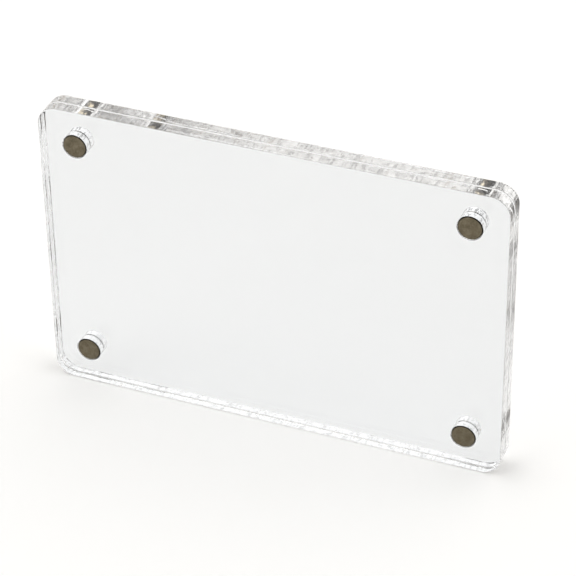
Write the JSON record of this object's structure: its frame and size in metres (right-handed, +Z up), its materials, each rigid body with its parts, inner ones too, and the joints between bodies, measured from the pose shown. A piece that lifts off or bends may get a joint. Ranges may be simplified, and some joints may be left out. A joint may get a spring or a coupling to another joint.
{
  "type": "magnetic acrylic photo frame",
  "caption": "Freestanding landscape photo frame of clear acrylic plates with rounded corners, held face to face by disc magnets set flush near the corners.",
  "frame": {"origin": "middle of the standing edge, on the surface that the frame stands on, half way through the pair of plates", "axes": "+X along the long edge, to the right as seen from the front; +Y from the front plate towards the back plate; +Z up"},
  "size_m": [0.1524, 0.009, 0.1016],
  "materials": {
    "clear_acrylic": "clear, polished faces and laser-cut edges",
    "magnet_nickel": "satin nickel plating, darkened"
  },
  "bodies": {
    "root": {"front_plate": "clear_acrylic", "back_plate": "clear_acrylic", "front_magnet_top_left": "magnet_nickel", "front_magnet_top_right": "magnet_nickel", "front_magnet_bottom_left": "magnet_nickel", "front_magnet_bottom_right": "magnet_nickel", "back_magnet_top_left": "magnet_nickel", "back_magnet_top_right": "magnet_nickel", "back_magnet_bottom_left": "magnet_nickel", "back_magnet_bottom_right": "magnet_nickel"}
  },
  "joints": []
}
